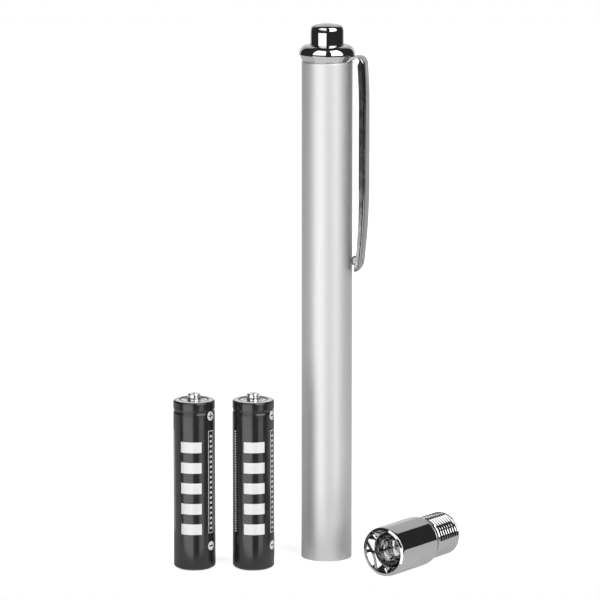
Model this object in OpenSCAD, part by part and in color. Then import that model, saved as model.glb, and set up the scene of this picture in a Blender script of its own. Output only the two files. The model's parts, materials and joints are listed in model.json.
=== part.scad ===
// A push-button penlight taken apart: barrel with tail cap, button and pocket clip, the screw-in head
// with its bulb lying beside it, and its two cells standing beside it.
// Millimetres. The origin is the centre of the barrel's open mouth, +Z runs up the barrel to the button.

/* [Barrel] */
// Outer diameter of the tube
barrel_d = 12.7; // [12.4:0.1:13.2]
// Threaded bore at the mouth that takes the head's neck
mouth_bore_d = 10.9; // [10.8:0.05:11.2]
// How deep the mouth bore runs
mouth_depth = 10.6; // [10.3:0.1:12]
// Diameter of the groove where the mouth's thread runs out
runout_d = 11.3; // [11.1:0.05:11.6]
// Width of that groove
runout_w = 0.8; // [0.6:0.1:1.2]
// Bore that the cells slide in
cell_bore_d = 10.7; // [10.5:0.05:10.8]
// Wider bore at the top that holds the switch and the cap
seat_bore_d = 11.2; // [11:0.05:11.5]
// Bright bevel at the top rim
rim_bevel = 0.3; // [0.1:0.05:0.4]
// Small bevel round the mouth
mouth_bevel = 0.15; // [0.05:0.05:0.3]

/* [Tail cap] */
// Largest diameter of the cap, at its crease
cap_d = 14; // [13.2:0.1:14.4]
// Diameter of the cap where it meets the barrel
cap_base_d = 12.8; // [12.5:0.1:13.1]
// Height of the taper from the base up to the crease
cap_taper_h = 1.2; // [0.9:0.1:1.6]
// Height of the straight foot under the taper
cap_foot_h = 0.35; // [0.2:0.05:0.5]
// Height of the rounded shoulder above the crease
cap_shoulder_h = 2.3; // [1.8:0.1:3]
// Diameter of the crest of the shoulder
cap_crest_d = 10.2; // [9.6:0.1:10.8]
// How far the shoulder dips towards the button
cap_dip = 0.65; // [0.3:0.05:1]
// Length of the spigot pushed into the tube
cap_spigot_len = 6.5; // [5:0.1:8]
// Wall of the spigot
cap_spigot_wall = 0.6; // [0.5:0.05:0.7]

/* [Push button] */
// Diameter of the button
button_d = 8.3; // [7.6:0.1:8.4]
// Height of the button above the cap's crest
button_rise = 5.3; // [4:0.1:7]
// Height of the dome inside its rounded edge
button_dome_h = 0.3; // [0.1:0.05:0.6]
// Width of its rounded edge
button_edge_w = 1.4; // [0.4:0.1:1.6]
// Height of its rounded edge
button_edge_h = 0.9; // [0.4:0.05:1.2]
// Wall of the button's cup
button_wall = 0.5; // [0.4:0.05:0.7]
// Thickness of the flange that keeps it in the cap
button_flange_t = 1; // [0.6:0.1:1.4]
// How far the button goes down
press_travel = 2; // [1:0.1:2.2]

/* [Switch] */
// Length of the switch's housing, which sets the tube's length with the cells
switch_len = 19; // [17:0.1:24]
// Depth of the pocket that holds the tail spring
tail_pocket_depth = 3; // [2:0.1:4]
// Diameter of that pocket
tail_pocket_d = 9.2; // [8.6:0.1:9.6]
// Thickness of the floor that carries the contacts
switch_floor_t = 3; // [2:0.1:4]
// Diameter of the contact chamber
chamber_d = 7.4; // [7:0.1:7.8]
// Height of the contact chamber, up to the spring's ledge
chamber_h = 5; // [4:0.1:6]
// Diameter of the spring's bore above the ledge
spring_bore_d = 8.8; // [8.7:0.05:9]
// Diameter of the plunger's stem
stem_d = 3; // [2.4:0.1:4]
// Wire of the return spring
return_wire_d = 0.45; // [0.3:0.05:0.5]
// Turns of the return spring
return_turns = 9; // [6:1:11]
// Wire of the tail contact spring
tail_wire_d = 0.6; // [0.4:0.05:0.7]
// Turns of the tail contact spring
tail_turns = 4; // [3:1:5]
// How far the cells squeeze the tail spring
tail_squeeze = 1.5; // [1:0.1:2]

/* [Pocket clip] */
// Width of the clip
clip_w = 4.6; // [4:0.1:5.2]
// Thickness of the clip's sheet
clip_sheet = 0.4; // [0.3:0.05:0.5]
// Depth of the folded side walls
clip_depth = 1.55; // [1.2:0.05:1.7]
// Depth of the side walls near the tip
clip_tip_depth = 1.1; // [0.9:0.05:1.2]
// Distance of the clip's outer face from the barrel's axis
clip_reach = 10.5; // [10.2:0.05:11]
// Length of the clip, from its bend's top to its tip
clip_len = 54.1; // [50:0.1:60]
// Angle of the clip round the barrel
clip_azimuth = -17; // [-90:1:90]

/* [Head] */
// Diameter of the head's shell
head_d = 12.4; // [12:0.1:12.8]
// Length of the shell, lip to shoulder
shell_len = 14.8; // [13:0.1:17]
// Whole length of the head
head_len = 25.9; // [25:0.1:26.1]
// Diameter of the threaded neck
neck_d = 10.8; // [10.6:0.05:10.9]
// Length of the shoulder's chamfer
shoulder_len = 0.9; // [0.6:0.1:1.2]
// Inner diameter of the rolled lip
lip_bore_d = 11.3; // [11:0.05:11.4]
// Depth of the reflector, lip to rear collar
reflector_len = 9.3; // [8.4:0.1:10]
// Wall of the reflector's bowl
reflector_wall = 0.5; // [0.35:0.05:0.6]
// Bore through the neck, which guides the bulb's flange
neck_bore_d = 8; // [7.8:0.1:8.6]

/* [Bulb] */
// Diameter of the glass
glass_d = 4; // [3.4:0.1:4.1]
// How far the glass's front lies behind the lip
glass_inset = 3.6; // [3:0.1:4.4]
// Diameter of the metal base
base_d = 5.8; // [5:0.1:6.4]
// How far the tip stands out of the neck
tip_proud = 0.8; // [0.5:0.1:1.2]

/* [Cells] */
// Diameter of a cell
cell_d = 10.4; // [10:0.05:10.45]
// Whole length of a cell
cell_len = 44.5; // [43.5:0.1:45]
// Height of the small end nub
nub_h = 1.9; // [1:0.1:2.3]
// Diameter of the nub
nub_d = 3.1; // [2.6:0.1:3.8]

/* [Layout on the table] */
// Place of the head's lip along X
head_x = 13.8; // [13:0.5:30]
// Place of the head's lip along Y
head_y = -21.1; // [-40:0.5:-20]
// Direction that the head's neck points in
head_azimuth = 53; // [30:1:60]
// Place of the left cell along X
cell_a_x = -33; // [-60:0.5:-32]
// Place of the right cell along X
cell_b_x = -18.3; // [-20:0.1:-18]
// Place of both cells along Y
cell_y = -11.3; // [-20:0.1:-5]

/* [Hidden] */
$fn = 96;
full_turn = 360;
half_turn = 180;
quarter_turn = 90;
arc_steps = 10;
// Overrun of every cut, and the clearances that the fits share
over = 0.5;
fit_gap = 0.05;
slide_gap = 0.1;
stop_gap = 0.1;
contact_gap = 0.05;

// Heights up the barrel, from the stack of cells and the parts that close it
cell_count = 2;
shoulder_s = shell_len + shoulder_len;
neck_reach = head_len - shoulder_s;
stack_top = neck_reach + tip_proud + cell_count * cell_len;
tail_spring_z = stack_top - tail_squeeze;
spring_lead = 0.1;
cell_bore_top = tail_spring_z - spring_lead;
cell_end_gap = 0.6;
switch_z = stack_top + cell_end_gap;
floor_z = switch_z + tail_pocket_depth;
chamber_z = floor_z + switch_floor_t;
ledge_z = chamber_z + chamber_h;
switch_top = switch_z + switch_len;
tab_t = 0.3;

// Cap and its spigot, with the clip's ring between cap and tube
spigot_z = switch_top + tab_t;
cap_z = spigot_z + cap_spigot_len;
barrel_len = cap_z - clip_sheet;
crease_z = cap_z + cap_taper_h;
cap_top = crease_z + cap_shoulder_h;
spigot_d = seat_bore_d - 2 * fit_gap;
cap_cavity_d = spigot_d - 2 * cap_spigot_wall;
button_hole_d = button_d + 2 * slide_gap;
cap_lip_t = 2.3;
cap_lip_z = cap_top - cap_lip_t;

// Button, plunger and their parts
button_top = cap_top + button_rise;
button_side_top = button_top - button_dome_h - button_edge_h;
flange_top = cap_lip_z - stop_gap;
flange_z = flange_top - button_flange_t;
flange_gap = 0.15;
flange_d = cap_cavity_d - 2 * flange_gap;
cup_bore_d = button_d - 2 * button_wall;
cup_roof_t = 0.7;
collar_t = 0.8;
collar_d = flange_d - 2 * flange_gap;
collar_z = flange_z - collar_t;
plug_d = cup_bore_d - 2 * fit_gap;
plug_top = button_side_top - cup_roof_t;
switch_d = spigot_d;
pad_t = 0.5;
rivet_top = chamber_z + pad_t;
bridge_z = rivet_top + press_travel + contact_gap;
bridge_t = 0.4;
bridge_gap = 0.3;
bridge_d = chamber_d - 2 * bridge_gap;
stem_tip_d = 1.6;
rivet_head_d = 2.8;
rivet_shank_d = 1.6;
rivet_hole_gap = 0.05;
plate_t = 0.4;
plate_d = 7.2;
tail_spring_d = 6.4;
return_spring_d = (spring_bore_d + chamber_d) / 2;
closed_gap = 0.15;
coil_rings = 14;
coil_sides = 6;

// Side contact strip, in its slot
slot_w = 2.4;
strip_w = 2;
strip_t = 0.4;
strip_gap = 0.15;
strip_outer_r = spring_bore_d / 2 + strip_gap + strip_t;
slot_gap = 0.1;
pad_reach = 1.9;

// Clip: the tongue's ring, the bend and the bow of its arm
ring_d = 12.2;
ring_bore_d = spigot_d + 2 * slide_gap;
bend_r = 2;
tongue_rise = 1;
tongue_top = cap_z + tongue_rise;
bend_z = tongue_top - bend_r;
bow_drop = 20.4;
bow_z = bend_z - bow_drop;
bow_flat = 18;
bow_r = 160;
clip_tip_z = tongue_top - clip_len;
tip_angle = 12;
tip_round_h = 3.6;
tip_nose = 1.9;
tip_plan_h = 1.8;
tip_step = 0.9;
split_angle = 14;
split_gap = 0.2;
ramp_start_r = 6.2;
ramp_end_r = 7;
notch_gap = 0.15;
dimple_d = 2.6;
dimple_above_tip = 2.8;
dimple_gap = 0.1;
dimple_round_share = 0.7;

// Head and reflector, along the head's own axis from its lip
head_r = head_d / 2;
lip_edge = 0.2;
lip_len = 0.6;
reflector_bore_d = 11.6;
reflector_flange_t = 0.8;
bowl_front_gap = 0.15;
relief_len = 0.7;
relief_d = 10.1;
neck_chamfer = 0.6;
seat_gap = 0.05;
reflector_z = lip_len + seat_gap;
reflector_end = reflector_z + reflector_len;
step_z = reflector_end + seat_gap;
collar_len = 1.8;
reflector_collar_d = 7.2;
bowl_hole_d = glass_d + 4 * slide_gap;
bowl_len = reflector_len - collar_len;

// Bulb, along the same axis
bulb_flange_z = step_z;
bulb_flange_t = 0.7;
bulb_flange_d = neck_bore_d - 2 * slide_gap;
base_wall = 0.35;
tip_end = head_len + tip_proud;
tip_d = 2;
tip_len = 1.3;
bead_len = 1.3;
bead_d = 4.4;
base_end = tip_end - tip_len - bead_len;
glass_wall = 0.4;
glass_lens_t = 1.4;
glass_end = 15;
glass_neck_d = base_d - 2 * base_wall - 2 * fit_gap;
mount_bead_d = 1.8;
mount_bead_len = 2;
mount_gap = 2.2;
post_d = 0.3;
post_place_share = 0.8;
post_spread = 1.5;
post_len = 3;
filament_d = 0.3;

// Cell, from its lower face
jacket_wall = 0.15;
jacket_foot = 0.35;
jacket_round = 0.6;
jacket_top_gap = 1.6;
jacket_top = cell_len - jacket_top_gap;
jacket_lip_d = 7.6;
jacket_foot_d = 8.6;
can_d = cell_d - 2 * jacket_wall - 2 * fit_gap;
can_wall = 0.5;
can_z = jacket_foot + jacket_wall + fit_gap;
seal_t = 1;
seal_top = jacket_top - jacket_wall - fit_gap;
can_top = seal_top - seal_t;
dish_z = cell_len - nub_h;
dish_t = 0.3;
dish_groove_d = 5.6;
dish_groove_depth = 0.25;
foot_plate_d = 8.4;
foot_plate_t = 0.45;
foot_dish_d = 5.4;
foot_dish_depth = 0.15;
rod_d = 2.6;
rod_inset = 3;
mix_inset = 1.2;
mix_top_gap = 3.4;
nub_pip_d = 0.8;
nub_pip_h = 0.15;

// Points of an elliptic arc from angle a0 to a1
function arc(cx, cy, rx, ry, a0, a1, steps = arc_steps) =
    [for (i = [0:steps]) let (a = a0 + (a1 - a0) * i / steps) [cx + rx * cos(a), cy + ry * sin(a)]];

// A solid turned from an outline of [radius, height] points
module turned(outline) {
    rotate_extrude() polygon(outline);
}

// A round hole or shaft between two heights
module bar(d, z0, z1) {
    translate([0, 0, z0]) cylinder(d = d, h = z1 - z0);
}

// Places a piece of the head, whose own axis is +Z, on the table
module on_head_axis() {
    translate([head_x, head_y, head_r])
        rotate([0, 0, head_azimuth])
            rotate([0, quarter_turn, 0])
                children();
}

// An outline in the clip's plane, [distance from the axis, height], given a width
module clip_plate(outline, width) {
    rotate([0, 0, clip_azimuth])
        rotate([quarter_turn, 0, 0])
            translate([0, 0, -width / 2])
                linear_extrude(width) polygon(outline);
}

// A wire coil standing on z0, with a closed turn at each end and even turns between
function coil_lift(u, turns, wire, height) =
    let (closed = wire + closed_gap, even = (height - wire - 2 * closed) / (turns - 2))
    u < 1 ? u * closed
    : u > turns - 1 ? closed + (turns - 2) * even + (u - turns + 1) * closed
    : closed + (u - 1) * even;

module coil(mean_d, wire, z0, z1, turns) {
    rings = turns * coil_rings;
    points = [for (i = [0:rings]) let (u = i / coil_rings, a = full_turn * u,
                   z = z0 + wire / 2 + coil_lift(u, turns, wire, z1 - z0))
              for (k = [0:coil_sides - 1]) let (b = full_turn * k / coil_sides, r = mean_d / 2 + wire / 2 * cos(b))
              [r * cos(a), r * sin(a), z + wire / 2 * sin(b)]];
    sides = [for (i = [0:rings - 1]) for (k = [0:coil_sides - 1])
             let (n = (k + 1) % coil_sides, p = i * coil_sides)
             for (t = [[p + k, p + coil_sides + k, p + coil_sides + n], [p + k, p + coil_sides + n, p + n]]) t];
    first = [[for (k = [0:coil_sides - 1]) k]];
    last = [[for (k = [coil_sides - 1:-1:0]) rings * coil_sides + k]];
    polyhedron(points = points, faces = concat(sides, first, last), convexity = 10);
}

// Barrel
module barrel() {
    r = barrel_d / 2;
    color("gainsboro") difference() {
        turned([[0, 0], [r - mouth_bevel, 0], [r, mouth_bevel], [r, barrel_len - rim_bevel],
                [r - rim_bevel, barrel_len], [0, barrel_len]]);
        bar(mouth_bore_d, -over, mouth_depth);
        bar(runout_d, mouth_depth, mouth_depth + runout_w);
        bar(cell_bore_d, 0, barrel_len);
        bar(seat_bore_d, cell_bore_top, barrel_len + over);
    }
}

// Chromed tail cap: a rounded collar on a spigot, notched for the clip's tongue
module tail_cap() {
    crest_r = cap_crest_d / 2;
    hole_r = button_hole_d / 2;
    base_r = cap_base_d / 2;
    cap_r = cap_d / 2;
    notch_w = clip_w + 2 * notch_gap;
    color("silver") difference() {
        turned(concat([[cap_cavity_d / 2, spigot_z], [spigot_d / 2, spigot_z], [spigot_d / 2, cap_z],
                       [base_r, cap_z], [base_r, cap_z + cap_foot_h]],
                      arc(crest_r, crease_z, cap_r - crest_r, cap_shoulder_h, 0, quarter_turn),
                      arc(crest_r, cap_top - cap_dip, crest_r - hole_r, cap_dip, quarter_turn, half_turn),
                      [[hole_r, cap_lip_z], [cap_cavity_d / 2, cap_lip_z]]));
        rotate([0, 0, clip_azimuth])
            translate([ring_bore_d / 2, -notch_w / 2, cap_z - over])
                cube([cap_d, notch_w, tongue_rise + notch_gap + over]);
    }
}

// Clip: its outer face bows, so both lines follow from the height
function clip_face(z) = clip_reach - pow(max(0, abs(z - bow_z) - bow_flat / 2), 2) / (2 * bow_r);
function clip_wall_depth(z) =
    clip_depth + (clip_tip_depth - clip_depth) * min(1, max(0, (bow_z - bow_flat / 2 - z) / (bow_z - bow_flat / 2 - tip_z)));
bend_x = clip_face(bend_z) - bend_r;
tip_z = clip_tip_z + tip_round_h * (1 - sin(tip_angle));
tip_cx = clip_face(tip_z) - tip_nose * cos(tip_angle);
tip_cz = clip_tip_z + tip_round_h;
function clip_back(z) = clip_face(z) - clip_wall_depth(z);
function clip_line(z0, z1, inset) =
    [for (i = [0:2 * arc_steps - 1]) let (z = z0 + (z1 - z0) * i / (2 * arc_steps)) [clip_face(z) - inset, z]];
function clip_tip(inset) =
    arc(tip_cx, tip_cz, tip_nose - inset, tip_round_h - inset, -tip_angle, -quarter_turn);
function clip_edge(z0, z1) =
    [for (i = [0:2 * arc_steps]) let (z = z0 + (z1 - z0) * i / (2 * arc_steps)) [clip_back(z), z]];

// The clip seen from outside: straight edges and a rounded end, cut through from the axis outwards
module clip_plan(inset) {
    half_w = clip_w / 2 - inset;
    rotate([0, 0, clip_azimuth])
        rotate([quarter_turn, 0, quarter_turn])
            linear_extrude(clip_reach + over)
                polygon(concat([[half_w, tongue_top], [-half_w, tongue_top]],
                               arc(0, clip_tip_z + tip_plan_h, half_w, tip_plan_h - inset, half_turn, full_turn)));
}

// The fixed end of the clip: a ring clamped under the cap, a raised tongue and the first of the bend
module clip_tongue() {
    color("silver") {
        difference() {
            bar(ring_d, barrel_len, cap_z);
            bar(ring_bore_d, barrel_len - over, cap_z + over);
        }
        clip_plate(concat([[ring_d / 2 - clip_sheet, barrel_len], [ramp_start_r, barrel_len],
                           [ramp_end_r, tongue_top - clip_sheet]],
                          arc(bend_x, bend_z, bend_r - clip_sheet, bend_r - clip_sheet,
                              quarter_turn, quarter_turn - split_angle),
                          arc(bend_x, bend_z, bend_r, bend_r, quarter_turn - split_angle, quarter_turn),
                          [[ramp_end_r - clip_sheet / 2, tongue_top], [ramp_start_r - clip_sheet / 2, cap_z],
                           [ring_d / 2 - clip_sheet, cap_z]]), clip_w);
    }
}

// The springing arm of the clip: rest of the bend, a channel with folded sides, a round tip and a dimple
module clip_arm() {
    start_angle = quarter_turn - split_angle - atan(split_gap / (bend_r - clip_sheet));
    pocket_top = bend_z + over;
    pocket_end = clip_tip_z + clip_sheet;
    pocket_tip_z = tip_cz - (tip_round_h - clip_sheet) * sin(tip_angle);
    dimple_z = clip_tip_z + dimple_above_tip;
    dimple_r = dimple_d / 2;
    color("silver") {
        clip_plate(concat(arc(bend_x, bend_z, bend_r, bend_r, start_angle, 0),
                          arc(bend_x, bend_z, bend_r - clip_sheet, bend_r - clip_sheet, 0, start_angle)), clip_w);
        difference() {
            intersection() {
                clip_plate(concat(clip_line(bend_z, tip_z, 0), clip_tip(0),
                                  [[clip_back(tip_z) - tip_step / 2, clip_tip_z + tip_step]],
                                  clip_edge(tip_z, bend_z)), clip_w);
                clip_plan(0);
            }
            intersection() {
                clip_plate(concat(clip_line(pocket_top, pocket_tip_z, clip_sheet), clip_tip(clip_sheet),
                                  [[0, pocket_end], [0, pocket_top]]), clip_w);
                clip_plan(clip_sheet);
            }
        }
        rotate([0, 0, clip_azimuth]) translate([barrel_d / 2 + dimple_gap, 0, dimple_z]) rotate([0, quarter_turn, 0])
            turned(concat(arc(0, dimple_r * dimple_round_share, dimple_r, dimple_r * dimple_round_share, -quarter_turn, 0),
                          [[dimple_r, clip_face(dimple_z) - clip_sheet / 2 - barrel_d / 2 - dimple_gap],
                           [0, clip_face(dimple_z) - clip_sheet / 2 - barrel_d / 2 - dimple_gap]]));
    }
}

// Button: a chromed cup with a domed top and a flange that the cap keeps in
module push_button() {
    r = button_d / 2;
    dome_r = r - button_edge_w;
    color("silver") turned(concat(
        [[cup_bore_d / 2, flange_z], [flange_d / 2, flange_z], [flange_d / 2, flange_top], [r, flange_top]],
        arc(dome_r, button_side_top, button_edge_w, button_edge_h, 0, quarter_turn),
        [for (i = [1:arc_steps]) let (t = 1 - i / arc_steps) [dome_r * t, button_top - button_dome_h * t * t]],
        [[0, plug_top + fit_gap], [cup_bore_d / 2, plug_top + fit_gap]]));
}

// Plunger: a moulded plug in the button, with a collar for the spring and a stem down to the bridge
module plunger() {
    color("dimgray") turned([[0, bridge_z], [stem_tip_d / 2, bridge_z], [stem_tip_d / 2, bridge_z + bridge_t],
                             [stem_d / 2, bridge_z + bridge_t], [stem_d / 2, collar_z], [collar_d / 2, collar_z],
                             [collar_d / 2, flange_z], [plug_d / 2, flange_z], [plug_d / 2, plug_top], [0, plug_top]]);
}

// Brass disc that joins the two contacts when the button is down
module contact_bridge() {
    color("goldenrod") difference() {
        bar(bridge_d, bridge_z, bridge_z + bridge_t);
        bar(stem_tip_d + 2 * rivet_hole_gap, bridge_z - over, bridge_z + bridge_t + over);
    }
}

// Spring that lifts the button
module return_spring() {
    color("lightsteelblue") coil(return_spring_d, return_wire_d, ledge_z, collar_z, return_turns);
}

// Insulating body of the switch
module switch_housing() {
    slot_r = strip_outer_r + slot_gap;
    color("ivory") difference() {
        bar(switch_d, switch_z, switch_top);
        bar(tail_pocket_d, switch_z - over, floor_z);
        bar(rivet_shank_d + 2 * rivet_hole_gap, switch_z, chamber_z + over);
        bar(chamber_d, chamber_z, ledge_z + over);
        bar(spring_bore_d, ledge_z, switch_top + over);
        translate([-slot_r, -slot_w / 2, chamber_z]) cube([slot_r, slot_w, switch_top - chamber_z + over]);
    }
}

// Brass rivet through the floor, with the plate that the tail spring pushes on
module centre_contact() {
    color("goldenrod") turned(concat(
        [[0, floor_z - plate_t], [plate_d / 2, floor_z - plate_t], [plate_d / 2, floor_z],
         [rivet_shank_d / 2, floor_z], [rivet_shank_d / 2, chamber_z], [rivet_head_d / 2, chamber_z]],
        arc(0, chamber_z + pad_t / 2, rivet_head_d / 2, pad_t / 2, 0, quarter_turn)));
}

// Brass strip from the contact pad up the slot to the cap's spigot
module side_contact() {
    color("goldenrod") {
        translate([-strip_outer_r, -strip_w / 2, chamber_z])
            cube([strip_outer_r - pad_reach, strip_w, pad_t]);
        translate([-strip_outer_r, -strip_w / 2, chamber_z])
            cube([strip_t, strip_w, switch_top + tab_t - chamber_z]);
        intersection() {
            translate([-switch_d / 2, -strip_w / 2, switch_top])
                cube([switch_d / 2 - strip_outer_r + strip_t, strip_w, tab_t]);
            bar(switch_d, switch_top, switch_top + tab_t);
        }
    }
}

// Spring that presses on the last cell
module tail_spring() {
    color("lightsteelblue") coil(tail_spring_d, tail_wire_d, tail_spring_z, floor_z - plate_t, tail_turns);
}

// Chromed head: shell with a rolled lip, shoulder, relief and threaded neck
module head_shell() {
    lip_r = lip_bore_d / 2;
    neck_r = neck_d / 2;
    color("silver") on_head_axis() turned([
        [lip_r, 0], [head_r - lip_edge, 0], [head_r, lip_edge], [head_r, shell_len],
        [neck_r, shoulder_s], [relief_d / 2, shoulder_s], [relief_d / 2, shoulder_s + relief_len],
        [neck_r, shoulder_s + relief_len], [neck_r, head_len - neck_chamfer], [neck_r - neck_chamfer, head_len],
        [neck_bore_d / 2, head_len], [neck_bore_d / 2, step_z], [reflector_bore_d / 2, step_z],
        [reflector_bore_d / 2, lip_len], [lip_r, lip_len]]);
}

// Reflector: a parabolic bowl with a flange at the lip and a collar that the bulb's flange seats on
function bowl_r(t) =
    let (rf = lip_bore_d / 2 - bowl_front_gap, rb = bowl_hole_d / 2) sqrt(rf * rf - (rf * rf - rb * rb) * t);
module reflector() {
    flange_r = reflector_bore_d / 2 - fit_gap;
    steps = [for (i = [0:2 * arc_steps]) i / (2 * arc_steps)];
    color("gainsboro") on_head_axis() turned(concat(
        [for (t = steps) [bowl_r(t), reflector_z + bowl_len * t]],
        [[bowl_hole_d / 2, reflector_end], [reflector_collar_d / 2, reflector_end],
         [reflector_collar_d / 2, reflector_z + bowl_len]],
        [for (i = [2 * arc_steps - 1:-1:0]) let (t = steps[i], z = reflector_z + bowl_len * t)
            if (z > reflector_z + reflector_flange_t && bowl_r(t) + reflector_wall > reflector_collar_d / 2)
                [bowl_r(t) + reflector_wall, z]],
        [[bowl_r(reflector_flange_t / bowl_len) + reflector_wall, reflector_z + reflector_flange_t],
         [flange_r, reflector_z + reflector_flange_t], [flange_r, reflector_z]]));
}

// Bulb: lens-ended glass, open at the back where the base holds it
module bulb_glass() {
    r = glass_d / 2;
    bore_r = r - glass_wall;
    bore_z = glass_inset + r + glass_lens_t;
    color([0.8, 0.85, 0.9, 0.4]) on_head_axis() turned(concat(
        [[0, glass_inset]],
        arc(0, glass_inset + r, r, r, -quarter_turn, 0),
        [[r, bulb_flange_z + bulb_flange_t], [glass_neck_d / 2, bulb_flange_z + 2 * bulb_flange_t],
         [glass_neck_d / 2, glass_end], [bore_r, glass_end]],
        arc(0, bore_z, bore_r, bore_r, 0, -quarter_turn)));
}

// Metal base with the flange that seats on the reflector
module bulb_base() {
    bore_r = base_d / 2 - base_wall;
    color("tan") on_head_axis() turned([
        [glass_d / 2 + fit_gap, bulb_flange_z], [bulb_flange_d / 2, bulb_flange_z],
        [bulb_flange_d / 2, bulb_flange_z + bulb_flange_t], [base_d / 2, bulb_flange_z + bulb_flange_t],
        [base_d / 2, base_end], [bead_d / 2 - base_wall, base_end], [bead_d / 2 - base_wall, base_end - base_wall],
        [bore_r, base_end - base_wall], [bore_r, bulb_flange_z + bulb_flange_t],
        [glass_d / 2 + fit_gap, bulb_flange_z + bulb_flange_t]]);
}

// Black glass bead that insulates the tip
module bulb_bead() {
    color("black") on_head_axis() turned([
        [0, base_end], [bead_d / 2, base_end], [bead_d / 2, base_end + bead_len / 2],
        [tip_d / 2 + base_wall, base_end + bead_len], [0, base_end + bead_len]]);
}

// Solder tip that touches the first cell
module bulb_tip() {
    color("lightgray") on_head_axis() turned(concat(
        [[0, base_end + bead_len], [tip_d / 2, base_end + bead_len], [tip_d / 2, tip_end - tip_d / 2]],
        arc(0, tip_end - tip_d / 2, tip_d / 2, tip_d / 2, 0, quarter_turn)));
}

// Glass bead with its two posts, and the filament across them
module filament_mount() {
    bead_z = glass_inset + glass_d / 2 + glass_lens_t + mount_gap;
    color("lightgray") on_head_axis() {
        bar(mount_bead_d, bead_z, bead_z + mount_bead_len);
        for (side = [-1, 1])
            translate([side * (mount_bead_d - post_d) / 2 * post_place_share, 0, 0])
                bar(post_d, bead_z - post_len / 2, glass_end);
    }
}

module filament() {
    bead_z = glass_inset + glass_d / 2 + glass_lens_t + mount_gap;
    color("gray") on_head_axis()
        translate([0, 0, bead_z - post_len / 2 - filament_d / 2]) rotate([0, quarter_turn, 0])
            translate([0, 0, -post_spread / 2]) cylinder(d = filament_d, h = post_spread);
}

// The pieces of one cell, from its foot up
module cell_jacket() {
    r = cell_d / 2;
    color([0.12, 0.12, 0.13]) turned(concat(
        [[jacket_foot_d / 2, jacket_foot], [r - jacket_round, jacket_foot]],
        arc(r - jacket_round, jacket_foot + jacket_round, jacket_round, jacket_round, -quarter_turn, 0),
        arc(r - jacket_round, jacket_top - jacket_round, jacket_round, jacket_round, 0, quarter_turn),
        [[jacket_lip_d / 2, jacket_top], [jacket_lip_d / 2, jacket_top - jacket_wall]],
        arc(r - jacket_round, jacket_top - jacket_round, jacket_round - jacket_wall, jacket_round - jacket_wall,
            quarter_turn, 0),
        arc(r - jacket_round, jacket_foot + jacket_round, jacket_round - jacket_wall, jacket_round - jacket_wall,
            0, -quarter_turn),
        [[jacket_foot_d / 2, jacket_foot + jacket_wall]]));
}

module cell_can() {
    r = can_d / 2;
    round_r = jacket_round - jacket_wall;
    color("silver") turned(concat(
        [[0, can_z]], arc(r - round_r, can_z + round_r, round_r, round_r, -quarter_turn, 0),
        [[r, can_top], [r - can_wall, can_top], [r - can_wall, can_z + can_wall], [0, can_z + can_wall]]));
}

module cell_mix() {
    r = can_d / 2 - can_wall - fit_gap;
    color([0.1, 0.1, 0.1]) turned([[0, can_z + mix_inset], [r, can_z + mix_inset], [r, can_top - mix_top_gap],
                                   [rod_d / 2 + fit_gap, can_top - mix_top_gap],
                                   [rod_d / 2 + fit_gap, can_z + rod_inset], [0, can_z + rod_inset]]);
}

module cell_rod() {
    color("dimgray") bar(rod_d, can_z + rod_inset + fit_gap, dish_z - dish_t);
}

module cell_seal() {
    r = can_d / 2;
    round_r = jacket_round - jacket_wall;
    color("whitesmoke") turned(concat(
        [[rod_d / 2 + fit_gap, can_top], [r, can_top]],
        arc(r - round_r, seal_top - round_r, round_r, round_r, 0, quarter_turn),
        [[jacket_lip_d / 2, seal_top], [jacket_lip_d / 2 - fit_gap, dish_z - dish_t - fit_gap],
         [rod_d / 2 + fit_gap, dish_z - dish_t - fit_gap]]));
}

module cell_cap() {
    groove_r = dish_groove_d / 2;
    nub_r = nub_d / 2;
    pip_r = nub_pip_d / 2;
    color("gainsboro") turned([
        [0, dish_z - dish_t], [jacket_lip_d / 2 - 2 * fit_gap, dish_z - dish_t], [jacket_lip_d / 2 - 2 * fit_gap, dish_z],
        [groove_r, dish_z], [groove_r - dish_groove_depth, dish_z - dish_groove_depth],
        [nub_r + dish_groove_depth, dish_z - dish_groove_depth], [nub_r, dish_z],
        [nub_r, cell_len - 2 * nub_pip_h], [nub_r - nub_pip_h, cell_len - nub_pip_h],
        [pip_r, cell_len - nub_pip_h], [pip_r / 2, cell_len], [0, cell_len]]);
}

module cell_foot() {
    foot_r = foot_dish_d / 2;
    color("gainsboro") turned([
        [0, foot_dish_depth], [foot_r - foot_dish_depth, foot_dish_depth], [foot_r, 0], [foot_plate_d / 2, 0],
        [foot_plate_d / 2, foot_plate_t], [0, foot_plate_t]]);
}

module at_cell(x) {
    translate([x, cell_y, 0]) children();
}

barrel();
tail_cap();
clip_tongue();
clip_arm();
push_button();
plunger();
contact_bridge();
return_spring();
switch_housing();
centre_contact();
side_contact();
tail_spring();
head_shell();
reflector();
bulb_glass();
bulb_base();
bulb_bead();
bulb_tip();
filament_mount();
filament();
at_cell(cell_a_x) cell_jacket();  // cell_a_jacket
at_cell(cell_a_x) cell_can();  // cell_a_can
at_cell(cell_a_x) cell_mix();  // cell_a_mix
at_cell(cell_a_x) cell_rod();  // cell_a_rod
at_cell(cell_a_x) cell_seal();  // cell_a_seal
at_cell(cell_a_x) cell_cap();  // cell_a_cap
at_cell(cell_a_x) cell_foot();  // cell_a_foot
at_cell(cell_b_x) cell_jacket();  // cell_b_jacket
at_cell(cell_b_x) cell_can();  // cell_b_can
at_cell(cell_b_x) cell_mix();  // cell_b_mix
at_cell(cell_b_x) cell_rod();  // cell_b_rod
at_cell(cell_b_x) cell_seal();  // cell_b_seal
at_cell(cell_b_x) cell_cap();  // cell_b_cap
at_cell(cell_b_x) cell_foot();  // cell_b_foot
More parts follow.
